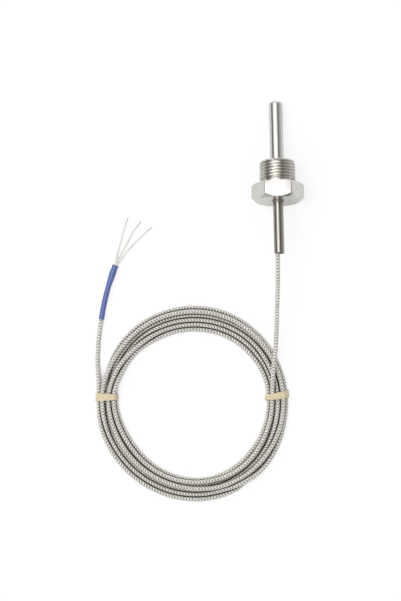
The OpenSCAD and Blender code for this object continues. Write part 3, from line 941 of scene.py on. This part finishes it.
def filleted(corners, steps=3):
    """A polyline through (r, w, corner radius), its corners rounded."""
    pts = [np.array(c[:2], float) for c in corners]
    out = [pts[0]]
    for i in range(1, len(pts) - 1):
        b, radius = pts[i], corners[i][2]
        u, v = pts[i - 1] - b, pts[i + 1] - b
        if radius == 0:
            out.append(b)
            continue
        lu, lv = np.linalg.norm(u), np.linalg.norm(v)
        d = min(radius, 0.45 * lu, 0.45 * lv)
        p, q = b + u / max(lu, 1e-9) * d, b + v / max(lv, 1e-9) * d
        for k in range(steps + 1):
            t = k / steps
            out.append((1 - t) ** 2 * p + 2 * t * (1 - t) * b + t * t * q)
    return out + [pts[-1]]


def head_profile(deg):
    """From the stem's seat over the hexagon at this angle to the end of the relief groove."""
    off = abs((deg + 30) % 60 - 30)             # degrees from the nearest corner
    apothem = HEX_AF / 2
    side_r = apothem / math.cos(math.radians(30 - off))
    corner_r = apothem / math.cos(math.radians(30))
    side_r = min(side_r, corner_r) - EDGE_SOFT * max(0.0, 1 - off / EDGE_SOFT_DEG) ** 2
    rear_w = -HEX_LEN + (side_r - REAR_R) * math.tan(REAR_ANGLE)
    front_w = -max(0.0, side_r - FRONT_R) * math.tan(FRONT_ANGLE)
    return filleted([
        (STEM_HOLE_R, -HEX_LEN + STEM_SEAT, 0), (STEM_HOLE_R, -HEX_LEN, 0.1),
        (REAR_R, -HEX_LEN, 0.12), (side_r, rear_w, 0.14), (side_r, front_w, 0.14),
        (min(side_r, FRONT_R), 0, 0.1), (MINOR_R, 0, 0.15), (MINOR_R, RELIEF - 0.05, 0),
        (MINOR_R, RELIEF, 0),
    ])


def thread_profile(deg, rows):
    """Along the thread at this angle, from the relief groove to the boss's end."""
    out = []
    for k in range(rows + 1):
        w = RELIEF + (BOSS_LEN - RELIEF) * k / rows
        past = max(0.0, w - (BOSS_LEN - CHAMFER))
        top = THREAD_R - past * (THREAD_R - MINOR_R + 0.15) / CHAMFER
        start = min(1.0, (w - RELIEF) / RUN_IN)
        r = MINOR_R + (min(thread_height(w, math.radians(deg)), top) - MINOR_R) * start
        out.append(np.array([min(r, top), w]))
    return out


def root_share(r, w):
    """Where shade is painted: 1 in the thread's roots, 0 on its crests and everywhere else."""
    if not RELIEF < w < BOSS_LEN - CHAMFER:
        return 0.0
    depth = (THREAD_R - r) / (THREAD_R - MINOR_R)
    return min(1.0, max(0.0, 3.0 * depth - 2.0)) if depth < 1.01 else 0.0


def fitting():
    """Hexagon, thread and bores as one skin: a closed profile at each of many angles."""
    angles = set(np.round(np.arange(0, 360, 3.0), 3))
    for corner in range(0, 360, 60):
        for d in (0.5, 1.0, 1.6, EDGE_SOFT_DEG):
            angles |= {round((corner + d) % 360, 3), round((corner - d) % 360, 3)}
    rows = int(round((BOSS_LEN - CHAMFER * 0.2 - RELIEF) / PITCH * ROWS_PER_PITCH))
    verts, root, count = [], [], 0
    for deg in sorted(angles):
        profile = head_profile(deg) + thread_profile(deg, rows)
        profile += filleted([
            (profile[-1][0], BOSS_LEN, 0), (SHEATH_HOLE_R, BOSS_LEN, 0.1),
            (SHEATH_HOLE_R, BOSS_LEN - SHEATH_SEAT, 0), (PASSAGE_R, BOSS_LEN - SHEATH_SEAT, 0),
            (PASSAGE_R, -HEX_LEN + STEM_SEAT, 0),
        ])[1:]
        count = len(profile)
        a = math.radians(deg)
        verts += [(r * math.cos(a), r * math.sin(a), w) for r, w in profile]
        root += [root_share(r, w) for r, w in profile]
    o = add_mesh("fitting", laid(verts), ring_faces(len(angles), count, closed=True))
    # where the material paints shade in the thread's roots
    point_attribute(o, "root", root)
    finish_of(o, "turned_steel")
    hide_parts("process_fitting")
    return o


fitting_piece = fitting()
bpy.context.view_layer.objects.active = fitting_piece
fitting_piece.select_set(True)
bpy.ops.object.shade_smooth_by_angle(angle=math.radians(35))


# -------------------- weld beads
WELD_AROUND, WELD_SECTION = 240, 12
WELD_SUNK = 0.02            # how deep it sits in the tube and the face
SCALE_STEP = 0.088          # how much of its size it loses along one of its scales
WELD_DRIFT = 0.0275         # and how much it wanders round the tube
WELD_FULLNESS = 0.85        # below 1, its face is fuller than round


def weld(name, node, r, w, up, size, scales, seed):
    """A fillet weld round a tube of radius r on the face at height w, up or down the axis:
    so many overlapping scales, a little uneven."""
    verts = []
    for i in range(WELD_AROUND):
        a = 2 * math.pi * i / WELD_AROUND
        x = (a / (2 * math.pi) * scales) % 1
        s = size * (1 + SCALE_STEP * (0.5 - x) + WELD_DRIFT * math.sin(3 * a + seed))
        ring = [(WELD_SUNK, 0.0)]
        for k in range(WELD_SECTION - 2):
            b = math.pi / 2 * k / (WELD_SECTION - 3)
            ring.append((s * math.cos(b) ** WELD_FULLNESS, s * math.sin(b) ** WELD_FULLNESS))
        ring.append((0.0, WELD_SUNK))
        for out, rise in ring:
            at = r + out - WELD_SUNK
            verts.append((at * math.cos(a), at * math.sin(a), w + up * (rise - WELD_SUNK)))
    faces = ring_faces(WELD_AROUND, WELD_SECTION, closed=True)
    o = add_mesh(name, laid(verts), faces if up < 0 else [f[::-1] for f in faces])
    finish_of(o, "weld_steel")
    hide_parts(node)


weld("stem_weld_bead", "stem_weld", r=3.0, w=-HEX_LEN, up=-1, size=0.55, scales=26, seed=0.4)
weld("sheath_weld_bead", "sheath_weld", r=4.0, w=BOSS_LEN, up=1, size=0.62, scales=32, seed=1.9)

# -------------------- CAD nodes that stay
KEPT = {
    "sheath_tube": "tube_steel", "stem_tube": "stem_steel", "sensing_element": "ceramic",
    "element_leads": "platinum", "splice_crimps": "crimp_brass",
    "splice_sleeve": "splice_insulation", "thermal_fill": "packed_powder",
    "inner_wire_1": "wire_insulation", "inner_wire_2": "wire_insulation",
    "inner_wire_3": "wire_insulation", "stem_potting": "potting_resin", "cable_entry": "core",
}
for node, material in KEPT.items():
    coat(nodes[node], material)

# -------------------- floor
FLOOR_HALF = 3.0            # metres
FLOOR_DROP = 0.1            # mm below the object
FLOOR_GREY = 0.9
corners = [(-1, -1), (1, -1), (1, 1), (-1, 1)]
floor_mesh = bpy.data.meshes.new("floor")
floor_mesh.from_pydata([(x * FLOOR_HALF, y * FLOOR_HALF, 0) for x, y in corners], [],
                       [(0, 1, 2, 3)])
floor = bpy.data.objects.new("floor", floor_mesh)
floor.location = (CAM_X * MM, CAM_Y * MM, -FLOOR_DROP * MM)
bpy.context.scene.collection.objects.link(floor)

# Pale in itself. To the camera it glows white, but for a share that keeps the object's shadow,
# and it glows less where the object touches it.
GLOW_SHARE = 0.78
TOUCH_REACH = 0.006         # metres
floor_look = bpy.data.materials.new("floor_white")
floor_look.use_nodes = True
ground = floor_look.node_tree
ground.nodes.remove(ground.nodes["Principled BSDF"])
pale = add_node(ground, "BsdfDiffuse", Color=(FLOOR_GREY, FLOOR_GREY, FLOOR_GREY, 1))
glow = add_node(ground, "Emission")
to_camera = add_node(ground, "LightPath").outputs["Is Camera Ray"]
openness = add_node(ground, "AmbientOcclusion", Distance=TOUCH_REACH).outputs["AO"]
share = add_range(ground, openness, 0.25, 0.6, 0.0, GLOW_SHARE)
share = add_node(ground, "Math", "MULTIPLY", i0=to_camera, i1=share).outputs[0]
shown = add_node(ground, "MixShader", i0=share, i1=pale.outputs[0], i2=glow.outputs[0])
ground.links.new(shown.outputs[0], ground.nodes["Material Output"].inputs["Surface"])
floor_mesh.materials.append(floor_look)

# -------------------- world
# Gloss and metal reflect a studio of grey cards, all else is lit by a soft fill that is
# stronger from the left, and the camera sees white.
CARD_STRENGTH = 1.5
SIDE_CARDS = [(-180, 0.8), (-112, 0.75), (-100, 0.14), (-62, 0.14), (-46, 1.0), (14, 1.0),
              (22, 0.12), (42, 0.14), (58, 0.42), (110, 0.5), (180, 0.8)]
REAR_CARDS = [(-180, 0.5), (-95, 0.32), (-40, 0.5), (-10, 0.9), (25, 0.5), (55, 0.10),
              (120, 0.06), (180, 0.5)]
FAR_CARD = (0.8, 0.8, 0.8)
FILL_LEFT, FILL_RIGHT = 1.12, 0.66

world = bpy.data.worlds.new("studio")
bpy.context.scene.world = world
world.use_nodes = True
sky = world.node_tree


def cards(turn, stops):
    """Greys by angle from overhead, in degrees towards +X."""
    x = add_node(sky, "ValToRGB", i0=turn)
    elements = x.color_ramp.elements
    while len(elements) > 1:
        elements.remove(elements[-1])
    for i, (deg, grey) in enumerate(stops):
        at = (deg + 180) / 360
        item = elements[0] if i == 0 else elements.new(at)
        item.position = at
        item.color = (grey, grey, grey, 1)
    return x.outputs[0]


direction = add_node(sky, "TexCoord").outputs["Generated"]
to_x, to_y, to_z = add_node(sky, "SeparateXYZ", i0=direction).outputs
angle = add_node(sky, "Math", "ARCTAN2", i0=to_x, i1=to_z).outputs[0]
turn = add_node(sky, "Math", "MULTIPLY_ADD", i0=angle, i1=1 / (2 * math.pi), i2=0.5).outputs[0]
to_rear = add_range(sky, to_y, -0.45, -0.8, 0.0, 1.0)
to_far = add_range(sky, to_y, 0.5, 0.75, 0.0, 1.0)
front_and_sides = add_mix(sky, to_far, cards(turn, SIDE_CARDS), FAR_CARD)
studio = add_mix(sky, to_rear, front_and_sides, cards(turn, REAR_CARDS))
studio = add_node(sky, "VectorMath", "SCALE", i0=studio, Scale=CARD_STRENGTH).outputs[0]
fill = add_range(sky, to_x, -0.7, 0.7, FILL_LEFT, FILL_RIGHT)
ray = add_node(sky, "LightPath").outputs
light = add_mix(sky, ray["Is Glossy Ray"], fill, studio)
sky.links.new(add_mix(sky, ray["Is Camera Ray"], light, (1, 1, 1)),
              sky.nodes["Background"].inputs["Color"])

# -------------------- lamp
lamp_data = bpy.data.lights.new("key", "AREA")
lamp_data.shape = "DISK"
lamp_data.size = 1.3
lamp_data.energy = 11.0
lamp = bpy.data.objects.new("key", lamp_data)
lamp.location = (-0.55, 0.15, 1.6)
aim = Vector((CAM_X * MM, CAM_Y * MM, 0)) - lamp.location
lamp.rotation_euler = aim.to_track_quat("-Z", "Y").to_euler()
bpy.context.scene.collection.objects.link(lamp)
